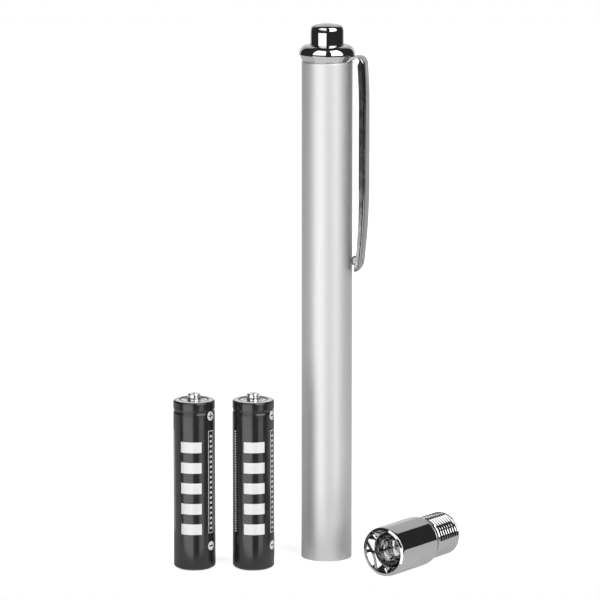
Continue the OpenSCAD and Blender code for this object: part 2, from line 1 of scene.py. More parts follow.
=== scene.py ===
"""Looks of a push-button penlight that lies taken apart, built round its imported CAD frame.

Sizes are in millimetres until a mesh is made. The frame's origin is the centre of the barrel's open mouth, and
+Z runs up the barrel to the button. A turned piece is turned about the z of its own axes.
"""

from __future__ import annotations

import json
import logging
import math
from dataclasses import dataclass, replace
from enum import Enum
from typing import Callable, Sequence, Union

import bmesh
import bpy
import numpy as np
from mathutils import Matrix

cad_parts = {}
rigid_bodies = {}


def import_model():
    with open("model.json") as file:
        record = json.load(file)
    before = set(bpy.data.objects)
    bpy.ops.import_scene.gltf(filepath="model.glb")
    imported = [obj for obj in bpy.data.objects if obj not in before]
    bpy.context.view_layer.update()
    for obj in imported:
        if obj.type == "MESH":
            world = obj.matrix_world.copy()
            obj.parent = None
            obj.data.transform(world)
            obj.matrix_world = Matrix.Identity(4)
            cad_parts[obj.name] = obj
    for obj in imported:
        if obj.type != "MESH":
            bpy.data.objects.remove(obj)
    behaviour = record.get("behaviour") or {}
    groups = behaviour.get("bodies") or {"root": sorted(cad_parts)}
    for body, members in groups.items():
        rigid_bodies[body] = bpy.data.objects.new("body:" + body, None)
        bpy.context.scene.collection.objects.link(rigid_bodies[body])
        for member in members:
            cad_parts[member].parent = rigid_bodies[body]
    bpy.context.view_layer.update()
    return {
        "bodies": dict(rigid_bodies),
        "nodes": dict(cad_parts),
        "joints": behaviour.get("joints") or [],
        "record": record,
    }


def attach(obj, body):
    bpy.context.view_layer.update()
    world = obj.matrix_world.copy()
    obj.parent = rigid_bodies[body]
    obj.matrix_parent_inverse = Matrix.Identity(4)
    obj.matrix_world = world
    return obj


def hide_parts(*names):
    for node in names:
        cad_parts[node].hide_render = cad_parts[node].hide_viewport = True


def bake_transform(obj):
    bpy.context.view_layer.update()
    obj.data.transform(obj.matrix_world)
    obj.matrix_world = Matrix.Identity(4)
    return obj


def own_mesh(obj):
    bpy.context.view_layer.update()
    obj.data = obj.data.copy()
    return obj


Array = np.ndarray
Pair = tuple[float, float]
Triple = tuple[float, float, float]
Relief = Callable[[Array, Array, Array], Array]
Piece = bpy.types.Object
Socket = bpy.types.NodeSocket
Feed = Union[Socket, float, tuple]

LOG = logging.getLogger("penlight")
MM = 0.001
TURN = 2 * math.pi

# Guard rows keep the shading of a long straight stretch flat up to its ends
GUARD = 0.05
GUARD_FROM = 0.3
# A fillet takes up to this share of the stretches beside it
FILLET_SHARE = 0.45
FILLET_STEPS = 6
# Points nearer than APART are one in an outline, and nearer than MERGE metres in a mesh
APART = 1e-5
MERGE = 2e-7
# Radii nearer than this are the same wall, and a length is never taken as less than TINY
SAME = 1e-6
TINY = 1e-9
CREASE = math.radians(25)
# Points round turned pieces of four sizes
FINE, MEDIUM, COARSE, COARSEST = 192, 128, 64, 48


def polar(degrees: Array) -> Array:
    """The cosines and sines of angles, as two columns."""
    return np.column_stack([np.cos(np.radians(degrees)), np.sin(np.radians(degrees))])


def unit(vectors: Array) -> Array:
    """Each row over its length."""
    return vectors / np.maximum(np.linalg.norm(vectors, axis=1, keepdims=True), TINY)


def ease(t: Array) -> Array:
    """The smooth step t^2 (3 - 2 t) from 0 to 1."""
    return t * t * (3 - 2 * t)


@dataclass(frozen=True)
class Place:
    """A piece's own axes: where they are, their turn round Z, and whether z lies level with x down."""

    x: float = 0.0
    y: float = 0.0
    z: float = 0.0
    azimuth: float = 0.0
    lying: bool = False

    def axes(self) -> Array:
        """The directions of the x, y and z axes in the frame, one a row, by the azimuth's cosine and sine."""
        c, s = polar(self.azimuth)[0]
        return np.array([(0, 0, -1), (-s, c, 0), (c, s, 0)] if self.lying else [(c, s, 0), (-s, c, 0), (0, 0, 1)])

    def to_frame(self, points: Array) -> Array:
        """Points of these axes in the frame, in metres: the origin plus each coordinate times its axis."""
        return (points @ self.axes() + [self.x, self.y, self.z]) * MM


def arc(centre: Pair, radii: Pair, start: float, end: float, steps: int) -> Array:
    """Corners along an elliptic arc: the centre plus the radii times the angle's cosine and sine, in degrees."""
    return np.array(centre) + np.array(radii) * polar(np.linspace(start, end, steps + 1))


def run(radius: float, start: float, end: float, steps: int) -> Array:
    """Corners spaced evenly along a wall of one radius, for a relief to bend."""
    z = np.linspace(start, end, steps + 1)
    return np.column_stack([np.full_like(z, radius), z])


def outline(*parts: Sequence, loop: bool = True) -> Array:
    """Joins corners, rounds each by a parabola and adds a guard row close to each end of every long stretch.

    A parabola starts and ends a fillet's length from its corner: (1 - t)^2 start + 2 t (1 - t) corner + t^2 end.

    Args:
        parts: Lists of corners, each as radius, height and perhaps fillet.
        loop: Whether the last corner joins the first.

    Returns:
        The outline's points, one a row.
    """
    corners = np.array([(*corner, 0.0)[:3] for part in parts for corner in part], float)
    p, fillet = corners[:, :2], corners[:, 2:].copy()
    if not loop:
        fillet[[0, -1]] = 0.0
    sides = [np.roll(p, 1, 0) - p, np.roll(p, -1, 0) - p]
    shortest = np.minimum(*(np.maximum(np.linalg.norm(side, axis=1, keepdims=True), TINY) for side in sides))
    reach = np.minimum(fillet, FILLET_SHARE * shortest)
    start, end = (p + unit(side) * reach for side in sides)
    t = np.linspace(0, 1, FILLET_STEPS + 1)[None, :, None]
    curve = (1 - t) ** 2 * start[:, None] + 2 * t * (1 - t) * p[:, None] + t**2 * end[:, None]
    points = curve.reshape(-1, 2)
    points = points[np.r_[True, np.linalg.norm(np.diff(points, axis=0), axis=1) > APART]]
    ends = np.roll(points, -1, axis=0)
    span = ends - points
    length = np.linalg.norm(span, axis=1, keepdims=True)
    share = GUARD / np.maximum(length, GUARD_FROM)
    rows = np.stack([points, points + span * share, ends - span * share], axis=1)
    long = length[:, 0] > GUARD_FROM
    long[-1] &= loop
    return rows[np.column_stack([np.ones_like(long), long, long])]


@dataclass
class Surface:
    """A grid of points, as rows by columns by three, that closes on itself round its columns."""

    points: Array
    loop_rows: bool = False

    def faces(self) -> Array:
        """Quads between neighbouring rows and columns.

        Returns:
            Indices into the flattened grid.
        """
        index = np.arange(self.points[..., 0].size).reshape(self.points.shape[:2])
        index = np.hstack([index, index[:, :1]])
        if self.loop_rows:
            index = np.vstack([index, index[:1]])
        corners = [index[:-1, :-1], index[:-1, 1:], index[1:, 1:], index[1:, :-1]]
        return np.stack(corners, axis=-1).reshape(-1, 4)


def turned(*parts: Sequence, columns: int = FINE, loop: bool = True, relief: Relief | None = None) -> Surface:
    """Turns an outline round its axis: (r cos a, r sin a, z), where r loses the relief's depth.

    Args:
        parts: The outline's corners.
        columns: How many points each ring has.
        loop: Whether the outline closes on itself.
        relief: Depth to take off, from radius, height and angle.

    Returns:
        The turned surface.
    """
    rows = outline(*parts, loop=loop)
    angle = np.linspace(0, TURN, columns, endpoint=False)[None, :]
    r, z = rows[:, :1], rows[:, 1:]
    if relief is not None:
        r = r - relief(r, z, angle)
    x, y = r * np.cos(angle), r * np.sin(angle)
    return Surface(np.stack([x, y, np.broadcast_to(z, x.shape)], axis=-1), loop_rows=loop)


def capped(rings: Array) -> Surface:
    """A tube of rings, closed by a ring at each end that is drawn in to its middle."""
    first, last = (np.broadcast_to(ring.mean(axis=0), ring.shape)[None] for ring in (rings[0], rings[-1]))
    return Surface(np.concatenate([first, rings, last]))


def box(low: Triple, high: Triple) -> Surface:
    """A closed box between two corners, as a tube of two rings of four points."""
    (x0, y0, z0), (x1, y1, z1) = low, high
    return capped(np.array([[[x0, y0, z], [x1, y0, z], [x1, y1, z], [x0, y1, z]] for z in (z0, z1)]))


def wire(path: Array, diameter: float, sides: int = 12) -> Surface:
    """A round wire along a path: a ring is the path's point plus the radius times (N cos a + B sin a).

    With the tangent T, the normal N is the axis direction less its part along T, and B is T cross N.

    Args:
        path: The wire's middle line, one point a row.
        diameter: The wire's diameter.
        sides: How many points each ring has.

    Returns:
        The wire's surface.
    """
    tangent = unit(np.gradient(path, axis=0))
    axis = np.array([0.0, 0.0, 1.0])
    normal = unit(axis - tangent * (tangent @ axis)[:, None])
    side = np.cross(tangent, normal)
    a = np.linspace(0, TURN, sides, endpoint=False)[None, :, None]
    return capped(path[:, None] + diameter / 2 * (normal[:, None] * np.cos(a) + side[:, None] * np.sin(a)))


def smooth(piece: Piece) -> None:
    """Shades a piece smooth, apart from its edges that are sharper than the crease."""
    piece.data.polygons.foreach_set("use_smooth", np.ones(len(piece.data.polygons), bool))
    piece.data.set_sharp_from_angle(angle=CREASE)


def make_piece(name: str, place: Place, *surfaces: Surface) -> Piece:
    """Makes one mesh object from surfaces, with its place in its mesh.

    Args:
        name: The piece's name.
        place: The surfaces' own axes.
        surfaces: The surfaces.

    Returns:
        The object, with poles and seams merged and its faces outwards.
    """
    grids = [s.points.reshape(-1, 3) for s in surfaces]
    starts = np.cumsum([0] + [len(g) for g in grids[:-1]])
    faces = np.vstack([s.faces() + start for s, start in zip(surfaces, starts)])
    mesh = bpy.data.meshes.new(name)
    mesh.from_pydata(place.to_frame(np.vstack(grids)).tolist(), [], faces.tolist())
    shape = bmesh.new()
    shape.from_mesh(mesh)
    bmesh.ops.remove_doubles(shape, verts=shape.verts, dist=MERGE)
    bmesh.ops.recalc_face_normals(shape, faces=shape.faces)
    shape.to_mesh(mesh)
    shape.free()
    piece = bpy.data.objects.new(name, mesh)
    bpy.context.scene.collection.objects.link(piece)
    smooth(piece)
    return piece


class Grain(Enum):
    """How a surface's fine texture runs on a piece's own axes."""

    EVEN = "even"
    ALONG = "along the axis"
    AROUND = "around the axis"


class Graph:
    """Builds shader nodes and links them as it goes."""

    def __init__(self, owner: bpy.types.Material | bpy.types.World) -> None:
        """Empties the node tree of a material or a world and keeps it."""
        owner.use_nodes = True
        self.tree = owner.node_tree
        self.tree.nodes.clear()

    def add(self, kind: str, inputs: dict, **settings: object) -> Sequence[Socket]:
        """Adds a node.

        Args:
            kind: The node's type, after the words ShaderNode.
            inputs: Values or sockets for its inputs, by name or number.
            settings: The node's own settings.

        Returns:
            The node's outputs.
        """
        node = self.tree.nodes.new("ShaderNode" + kind)
        for key, value in settings.items():
            setattr(node, key, value)
        for key, value in inputs.items():
            if isinstance(value, Socket):
                self.tree.links.new(value, node.inputs[key])
            else:
                node.inputs[key].default_value = value
        return node.outputs

    def math(self, operation: str, *values: Feed) -> Socket:
        """The result of a math node on up to three values."""
        return self.add("Math", dict(enumerate(values)), operation=operation)[0]

    def map(self, value: Feed, low: float, high: float, to: Pair = (0.0, 1.0), kind: str = "LINEAR") -> Socket:
        """A value mapped from one range to another and held at its ends."""
        inputs = {"Value": value, "From Min": low, "From Max": high, "To Min": to[0], "To Max": to[1]}
        return self.add("MapRange", inputs, interpolation_type=kind)[0]

    def window(self, value: Feed, low: float, high: float, soft: float) -> Socket:
        """One between low and high and zero outside, with smooth steps of the given width."""
        rise = self.map(value, low - soft / 2, low + soft / 2, kind="SMOOTHSTEP")
        return self.math("MULTIPLY", rise, self.map(value, high - soft / 2, high + soft / 2, (1.0, 0.0), "SMOOTHSTEP"))

    def noise(self, vector: Feed, scale: float, detail: float = 1.0) -> Socket:
        """Noise from about zero to one at so many features a unit."""
        return self.add("TexNoise", {"Vector": vector, "Scale": scale, "Detail": detail})[0]

    def blend(self, factor: Feed, first: Feed, second: Feed) -> Socket:
        """A colour mixed from two by a factor."""
        return self.add("Mix", {0: factor, 6: first, 7: second}, data_type="RGBA")[2]

    def split(self, vector: Feed) -> Sequence[Socket]:
        """The three parts of a vector."""
        return self.add("SeparateXYZ", {0: vector})[:3]

    def squares(self, x: Feed, y: Feed) -> Socket:
        """The sum of two squares."""
        return self.math("ADD", self.math("POWER", x, 2.0), self.math("POWER", y, 2.0))

    def bump(self, height: Socket, depth: float, inputs: dict | None = None) -> dict:
        """A normal bent by a height of so many millimetres, over an earlier one, as an input."""
        return {"Normal": self.add("Bump", {"Height": height, "Distance": depth * MM, **(inputs or {})})[0]}


def tinted(colour: Triple, share: float = 1.0) -> tuple:
    """A colour times a share, at most one, with full opacity."""
    return tuple(min(1.0, c * share) for c in colour) + (1.0,)


@dataclass(frozen=True)
class Finish:
    """A surface finish, whose methods take the place on the piece in millimetres as point.

    Rough is the roughness and its spread, and grain and wave are features a millimetre and their depth.
    """

    colour: Triple
    rough: Pair
    mottle: float = 0.04
    grain: Pair = (8.0, 0.0005)
    wave: Pair = (0.5, 0.0)
    runs: Grain = Grain.EVEN
    metallic: float = 1.0
    stretch: float = 0.03
    specular: float = 0.5
    noise_range: Pair = (0.3, 0.7)
    noise_detail: float = 3.0

    def dress(self, name: str, place: Place) -> bpy.types.Material:
        """Makes the finish's material.

        Args:
            name: Its name.
            place: The axes that its texture follows.

        Returns:
            The material.
        """
        material = bpy.data.materials.new(name)
        graph = Graph(material)
        turn = Matrix(place.axes().tolist()).transposed().to_euler()
        point = graph.add("Mapping", {
            "Vector": graph.add("TexCoord", {})["Object"], "Location": place.to_frame(np.zeros(3)),
            "Rotation": turn, "Scale": (MM,) * 3}, vector_type="TEXTURE")[0]
        graph.add("OutputMaterial", {"Surface": self.surface(graph, point)})
        return material

    def grained(self, graph: Graph, point: Socket) -> Socket:
        """The point as the fine texture reads it, stretched the way the grain runs."""
        if self.runs is Grain.EVEN:
            return point
        x, y, z = graph.split(point)
        if self.runs is Grain.ALONG:
            return graph.add("CombineXYZ", {0: x, 1: y, 2: graph.math("MULTIPLY", z, self.stretch)})[0]
        return graph.add("CombineXYZ", {0: graph.math("SQRT", graph.squares(x, y)), 2: z})[0]

    def colour_at(self, graph: Graph, point: Socket, cloud: Socket) -> Feed:
        """The base colour, a little lighter and darker from place to place."""
        return graph.blend(cloud, tinted(self.colour, 1 - self.mottle), tinted(self.colour, 1 + self.mottle))

    def surface(self, graph: Graph, point: Socket) -> Socket:
        """The shader, whose roughness and normal follow a fine noise and a broad one."""
        (scale, depth), (wave_scale, wave_depth), (rough, spread) = self.grain, self.wave, self.rough
        fine = graph.noise(self.grained(graph, point), scale, self.noise_detail)
        cloud = graph.noise(point, wave_scale, self.noise_detail)
        both = graph.math("ADD", graph.math("MULTIPLY", fine, 0.5), graph.math("MULTIPLY", cloud, 0.5))
        bump = graph.bump(fine, depth)
        if wave_depth:
            bump = graph.bump(graph.noise(point, wave_scale), wave_depth, bump)
        return graph.add("BsdfPrincipled", {
            "Base Color": self.colour_at(graph, point, cloud), "Metallic": self.metallic,
            "Roughness": graph.map(both, *self.noise_range, (rough - spread, rough + spread)),
            "Specular IOR Level": self.specular, **bump})[0]


@dataclass(frozen=True)
class BowlMirror(Finish):
    """The bowl's mirror: bright on the front band, with painted shade that darkens its colour where the bowl goes deep
    round the bulb.
    """

    deep: Pair = (2.5, 2.8)
    # Share of the colour left deep in the bowl: painted shade round the bulb
    painted_shade_share: float = 0.6

    def colour_at(self, graph: Graph, point: Socket, cloud: Socket) -> Feed:
        """The mirror's colour, darkened by painted shade past the depth where the band ends."""
        depth = graph.map(graph.split(point)[2], *self.deep)
        return graph.blend(depth, super().colour_at(graph, point, cloud), tinted(self.colour, self.painted_shade_share))


@dataclass(frozen=True)
class ClearGlass(Finish):
    """Clear blown glass, with the faint waves of its drawing."""

    ior: float = 1.5

    def surface(self, graph: Graph, point: Socket) -> Socket:
        """The shader: full transmission through a barely waved surface."""
        waves = graph.noise(point, self.wave[0])
        return graph.add("BsdfPrincipled", {
            "Base Color": self.colour_at(graph, point, waves), "Transmission Weight": 1.0, "IOR": self.ior,
            "Roughness": self.rough[0], **graph.bump(waves, self.wave[1])})[0]


@dataclass(frozen=True)
class Mark:
    """A rectangle or a disc that inks or clears the unrolled film, in millimetres round the film and up it.

    A beat is a pitch up the film, the share of it that counts, and where it starts.
    """

    middle: Pair
    half: Pair
    beat: Triple = (100.0, 1.0, 0.0)
    disc: bool = False
    clears: bool = False

    def over(self, graph: Graph, ink: Socket, *at: Socket) -> Socket:
        """The ink at a place on the film with this mark over it."""
        if self.disc:
            away = graph.squares(*(graph.math("SUBTRACT", *side) for side in zip(at, self.middle)))
            shape = graph.math("LESS_THAN", away, self.half[0] ** 2)
        else:
            pitch, share, start = self.beat
            phase = graph.math("FRACT", graph.math("DIVIDE", graph.math("SUBTRACT", at[1], start), pitch))
            inside = (graph.math("COMPARE", *side) for side in zip(at, self.middle, self.half))
            shape = graph.math("MULTIPLY", graph.math("MULTIPLY", *inside), graph.math("LESS_THAN", phase, share))
        return graph.math("SUBTRACT" if self.clears else "MAXIMUM", ink, shape)


@dataclass(frozen=True)
class PrintedFilm(Finish):
    """Black shrink film with a plain white print: polarity signs, a ruled strip, bars and a row of dashes."""

    radius: float = 5.2
    turn: float = 0.0
    ink: Triple = (0.82, 0.82, 0.81)
    marks: tuple[Mark, ...] = (
        Mark((5.6, 6.2), (1.15, 1.15), disc=True),
        Mark((5.6, 6.2), (0.75, 0.17), clears=True),
        Mark((5.6, 39.2), (1.15, 1.15), disc=True),
        Mark((5.6, 39.2), (0.75, 0.17), clears=True),
        Mark((5.6, 39.2), (0.17, 0.75), clears=True),
        Mark((5.6, 22.5), (0.95, 13.0)),
        Mark((5.6, 22.5), (0.79, 12.84), clears=True),
        Mark((5.6, 22.5), (0.395, 12.0), (1.3, 0.45, 0.0)),
        Mark((0.0, 22.3), (2.7, 12.9), (5.2, 0.52, 9.4)),
        Mark((-5.6, 22.5), (0.35, 13.0), (0.65, 0.5, 0.0)),
    )
    end_ring: Triple = (3.8, 4.9, 0.1)
    end_z: float = 42.6

    def printed(self, graph: Graph, point: Socket) -> Socket:
        """One on the ink: the film unrolls to its radius times the angle from the side that faces the camera."""
        x, y, z = graph.split(point)
        angle = graph.math("ARCTAN2", x, graph.math("MULTIPLY", y, -1.0))
        u = graph.math("MULTIPLY", graph.math("SUBTRACT", angle, math.radians(self.turn)), self.radius)
        ring = graph.window(graph.math("SQRT", graph.squares(x, y)), *self.end_ring)
        ink = graph.math("MULTIPLY", ring, graph.math("GREATER_THAN", z, self.end_z))
        for mark in self.marks:
            ink = mark.over(graph, ink, u, z)
        return ink

    def colour_at(self, graph: Graph, point: Socket, cloud: Socket) -> Feed:
        """The film's black or the ink's white."""
        return graph.blend(self.printed(graph, point), super().colour_at(graph, point, cloud), tinted(self.ink))


class Slot(Enum):
    """The record's material slots, each with its finish."""

    BARREL = ("anodised_barrel", Finish((0.86, 0.86, 0.865), (0.55, 0.03), 0.012, (9.0, 0.0012)))
    CHROME = ("bright_chrome", Finish((0.66, 0.66, 0.67), (0.045, 0.02), 0.02, (4.0, 0.0003), (0.7, 0.004)))
    CLIP = ("clip_steel", Finish((0.4, 0.4, 0.41), (0.12, 0.04), 0.05, (6.0, 0.0006), (0.6, 0.012), Grain.ALONG))
    BLACK_PLASTIC = ("black_plastic", Finish((0.04, 0.04, 0.042), (0.45, 0.04), grain=(10.0, 0.002), metallic=0.0))
    WHITE_PLASTIC = ("white_plastic", Finish((0.8, 0.8, 0.77), (0.42, 0.04), grain=(9.0, 0.002), metallic=0.0))
    BRASS = ("contact_brass", Finish((0.78, 0.58, 0.28), (0.26, 0.04), 0.12, (8.0, 0.001), runs=Grain.ALONG))
    SPRING = ("spring_steel", Finish((0.6, 0.6, 0.61), (0.24, 0.04), 0.06, (12.0, 0.001)))
    MIRROR = ("reflector_mirror", BowlMirror((0.78, 0.78, 0.79), (0.045, 0.02), 0.02, (5.0, 0.0003), (0.9, 0.002)))
    GLASS = ("bulb_glass", ClearGlass((0.97, 0.98, 0.98), (0.0, 0.0), 0.01, wave=(0.8, 0.01)))
    NICKEL = ("nickel_base", Finish((0.64, 0.62, 0.58), (0.22, 0.04), 0.06, (8.0, 0.0008), runs=Grain.AROUND))
    BLACK_GLASS = ("black_glass", Finish((0.015, 0.015, 0.018), (0.1, 0.04), grain=(8.0, 0.001), metallic=0.0))
    SOLDER = ("solder", Finish((0.55, 0.55, 0.56), (0.38, 0.04), 0.15, wave=(2.0, 0.05)))
    TUNGSTEN = ("tungsten", Finish((0.22, 0.22, 0.24), (0.45, 0.04), grain=(20.0, 0.002)))
    JACKET = ("cell_jacket", PrintedFilm(
        (0.018, 0.018, 0.019), (0.2, 0.04), 0.1, (3.0, 0.0012), (0.35, 0.03), Grain.ALONG, 0.0, specular=0.75))
    ZINC = ("zinc_can", Finish((0.5, 0.52, 0.55), (0.35, 0.04), 0.1, (8.0, 0.002), runs=Grain.ALONG))
    CARBON = ("carbon_mix", Finish((0.03, 0.03, 0.03), (0.8, 0.04), 0.3, (6.0, 0.02), metallic=0.0))
    TINNED = ("tinned_steel", Finish(
        (0.95, 0.95, 0.94), (0.16, 0.05), 0.05, (7.0, 0.001), (0.5, 0.01), Grain.AROUND))

    def __new__(cls, value: str, finish: Finish) -> Slot:
        """Makes a member whose value is the record's name for it."""
        slot = object.__new__(cls)
        slot._value_, slot.finish = value, finish
        return slot


class Body(Enum):
    """The bodies of the frame that pieces ride on, each with its own axes and the turn of its print."""

    BARREL = ("barrel", Place())
    BUTTON = ("button", Place())
    CLIP = ("clip", Place(azimuth=-17.0))
    HEAD = ("head", Place(13.8, -21.1, 6.2, 53.0, lying=True))
    BULB = ("bulb", Place(13.8, -21.1, 6.2, 53.0, lying=True))
    CELL_A = ("cell_a", Place(-33.0, -11.3), -8.0)
    CELL_B = ("cell_b", Place(-18.3, -11.3), 3.0)

    def __new__(cls, value: str, place: Place, print_turn: float = 0.0) -> Body:
        """Makes a member whose value is the frame's name for it."""
        body = object.__new__(cls)
        body._value_, body.place, body.print_turn = value, place, print_turn
        return body


class Wardrobe:
    """Makes each material once for each body whose axes it follows, and fits pieces with them."""

    def __init__(self) -> None:
        """Starts with no materials."""
        self.made: dict[tuple[Slot, Body], bpy.types.Material] = {}

    def material(self, slot: Slot, body: Body) -> bpy.types.Material:
        """The material of a slot on a body's own axes, made on the first call."""
        if (slot, body) not in self.made:
            finish = replace(slot.finish, turn=body.print_turn) if slot is Slot.JACKET else slot.finish
            self.made[slot, body] = finish.dress(f"{slot.value}_{body.value}", body.place)
        return self.made[slot, body]

    def fit(self, name: str, slot: Slot, body: Body, nodes: Sequence[str], *surfaces: Surface,
            rides: bool = True) -> Piece:
        """Makes a piece, dresses it and seats it on its body.

        Args:
            name: Its name.
            slot: The slot of its finish.
            body: The body whose axes it has and on which it rides.
            nodes: The CAD nodes that it stands for.
            surfaces: Its surfaces.
            rides: False to leave it on no body.

        Returns:
            The piece.
        """
        piece = make_piece(name, body.place, *surfaces)
        piece.data.materials.append(self.material(slot, body))
        if rides:
            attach(piece, body.value)
        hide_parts(*nodes)
        LOG.info("%s: %d faces, stands for %s", piece.name, len(piece.data.polygons), ", ".join(nodes))
        return piece

    def dress_nodes(self, frame: dict) -> None:
        """Gives every CAD node of the loaded frame the better material of its slot."""
        slots = {part["node"]: Slot(part["material_slot"]) for part in frame["record"]["subparts"]}
        for body, names in frame["record"]["behaviour"]["bodies"].items():
            for name in names:
                for material_slot in frame["nodes"][name].material_slots:
                    material_slot.material = self.material(slots[name], Body(body))


@dataclass(frozen=True)
class Thread:
    """A right-hand thread cut into one wall of a turned piece, by where it starts and ends on the axis."""

    wall_r: float
    start: float
    end: float
    pitch: float = 1.0
    depth: float = 0.42
    flat: float = 0.12
    fade: float = 0.7
    rows_per_turn: int = 12

    def wall(self) -> Array:
        """The threaded wall's corners, from the start to the end."""
        return run(self.wall_r, self.start, self.end, round((self.end - self.start) / self.pitch * self.rows_per_turn))

    def relief(self, r: Array, z: Array, angle: Array) -> Array:
        """Depth of the groove at a radius, a height and an angle, which is zero on other walls.

        The phase is height over pitch less angle over a turn. The depth falls with twice the phase's distance from
        its middle, between flats at the crest and the root, and fades out smoothly at both ends.
        """
        phase = np.mod((z - self.start) / self.pitch - angle / TURN, 1.0)
        wave = np.clip((1 - np.abs(2 * phase - 1) - self.flat) / (1 - 2 * self.flat), 0.0, 1.0)
        faded = ease(np.clip(np.minimum(z - self.start, self.end - z) / self.fade, 0.0, 1.0))
        return np.where(np.abs(r - self.wall_r) < SAME, self.depth * wave * faded, 0.0)


@dataclass
class Tube:
    """The satin barrel: its threaded mouth, runout groove, cell bore, seat bore and bevelled rims."""

    radius: float = 6.35
    length: float = 126.0
    mouth_depth: float = 10.6
    runout: Pair = (5.65, 0.8)
    cell_r: float = 5.35
    seat: Pair = (5.6, 98.4)
    rim: float = 0.3
    lip: float = 0.25
    thread: Thread = Thread(5.45, 0.5, 10.4)

    def build(self, wardrobe: Wardrobe) -> None:
        """Turns the barrel and seats it."""
        r, top, bore, deep, mouth_r = self.radius, self.length, self.cell_r, self.mouth_depth, self.thread.wall_r
        (seat_r, seat_z), (runout_r, runout_w) = self.seat, self.runout
        wall = turned(
            [[r, top - self.rim, 0.1], [r - self.rim, top, 0.1], [seat_r, top, 0.1], [seat_r, seat_z, 0.05]],
            [[bore, seat_z, 0.05], [bore, deep + runout_w], [runout_r, deep + runout_w], [runout_r, deep]],
            [[mouth_r, deep]], self.thread.wall()[::-1], [[mouth_r, 0.0, self.lip], [r, 0.0, self.lip]],
            relief=self.thread.relief)
        wardrobe.fit("tube", Slot.BARREL, Body.BARREL, ["barrel"], wall)


@dataclass
class TailCap:
    """The chromed collar on its spigot, with a skirt round the clip's ring and a notch for its tongue.

    The notch is a radius, half a width and a height.
    """

    base_z: float = 126.4
    spigot: Pair = (5.55, 119.9)
    cavity_r: float = 4.95
    skirt_h: float = 0.28
    skirt_r: Pair = (6.13, 6.26)
    crease: Pair = (7.0, 127.6)
    crest_r: float = 5.1
    shoulder_h: float = 2.3
    dip: float = 0.65
    hole_r: float = 4.25
    notch: Triple = (5.65, 2.45, 1.15)
    over: float = 0.5

    def build(self, wardrobe: Wardrobe) -> None:
        """Turns the cap, seats it and cuts its notch."""
        (out, low), (bore, skirt), (r, z), (inner, wide, high) = self.spigot, self.skirt_r, self.crease, self.notch
        crest, base, top, foot = self.crest_r, self.base_z, z + self.shoulder_h, self.base_z - self.skirt_h
        wall = turned(
            [[self.cavity_r, low, 0.1], [out, low, 0.25], [out, base], [bore, base], [bore, foot], [skirt, foot, 0.03]],
            arc((crest, z), (r - crest, self.shoulder_h), 0, 90, 28),
            arc((crest, top - self.dip), (crest - self.hole_r, self.dip), 90, 180, 16)[1:],
            [[self.hole_r, z, 0.1], [self.cavity_r, z, 0.2]])
        piece = wardrobe.fit("collar", Slot.CHROME, Body.BARREL, ["tail_cap"], wall)
        notch = box((inner, -wide, base - self.over), (r + self.over, wide, base + high))
        cut = piece.modifiers.new("cut", "BOOLEAN")
        cut.object, cut.solver = make_piece("notch", Body.CLIP.place, notch), "EXACT"
        piece.data = bpy.data.meshes.new_from_object(piece.evaluated_get(bpy.context.evaluated_depsgraph_get()))
        bpy.data.objects.remove(cut.object)
        piece.modifiers.clear()
        smooth(piece)


@dataclass
class Button:
    """The chromed push button: a cup with a rounded edge, a low dome and the flange that keeps it in."""

    radius: float = 4.15
    side_top: float = 134.0
    draw: Pair = (0.09, 1.0)
    edge: Pair = (1.4, 0.9)
    dome_h: float = 0.3
    cup_r: float = 3.65
    roof_z: float = 133.35
    flange_r: float = 4.8
    flange_z: Pair = (126.5, 127.5)

    def build(self, wardrobe: Wardrobe) -> None:
        """Turns the button, whose side draws in by the square of its rise and whose dome is a parabola."""
        (draw_w, draw_h), (edge_w, edge_h), (low, high), brim = self.draw, self.edge, self.flange_z, self.flange_r
        r, z, rise, t = self.radius, self.side_top, np.linspace(0, 1, 9), np.linspace(1, 0, 13)[1:]
        wall = turned(
            [[self.cup_r, low, 0.1], [brim, low, 0.15], [brim, high, 0.15], [r, high, 0.1]],
            np.column_stack([r - draw_w * rise**2, z - draw_h * (1 - rise)]),
            arc((r - edge_w, z), (edge_w - draw_w, edge_h), 0, 90, 20)[2:],
            np.column_stack([(r - edge_w) * t, z + edge_h + self.dome_h * (1 - t * t)]),
            [[0.0, self.roof_z], [self.cup_r, self.roof_z, 0.3]])
        wardrobe.fit("button_cup", Slot.CHROME, Body.BUTTON, ["push_button"], wall)


@dataclass
class Coil:
    """A spring of the switch, with a closed turn at each end; where the button travels onto it, the coil gets a copy of
    its mesh.
    """

    name: str
    node: str
    mean_r: float
    wire_d: float
    low: float
    high: float
    turns: int
    travel: float = 0.0
    closed_gap: float = 0.15
    rings_per_turn: int = 40

    def build(self, wardrobe: Wardrobe) -> None:
        """Winds the coil and seats it.

        At u turns the wire's middle is at (r cos, r sin) of u turns. It climbs a wire's width and a gap over the
        first and last turns, and evenly between them.
        """
        u = np.linspace(0, self.turns, self.turns * self.rings_per_turn + 1)
        closed, climb = self.wire_d + self.closed_gap, self.high - self.low - self.wire_d
        z = np.interp(u, [0, 1, self.turns - 1, self.turns], [0, closed, climb - closed, climb])
        path = np.column_stack([self.mean_r * polar(360 * u), self.low + self.wire_d / 2 + z])
        coil = wardrobe.fit(self.name, Slot.SPRING, Body.BARREL, [self.node], wire(path, self.wire_d))
        if self.travel:
            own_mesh(coil)


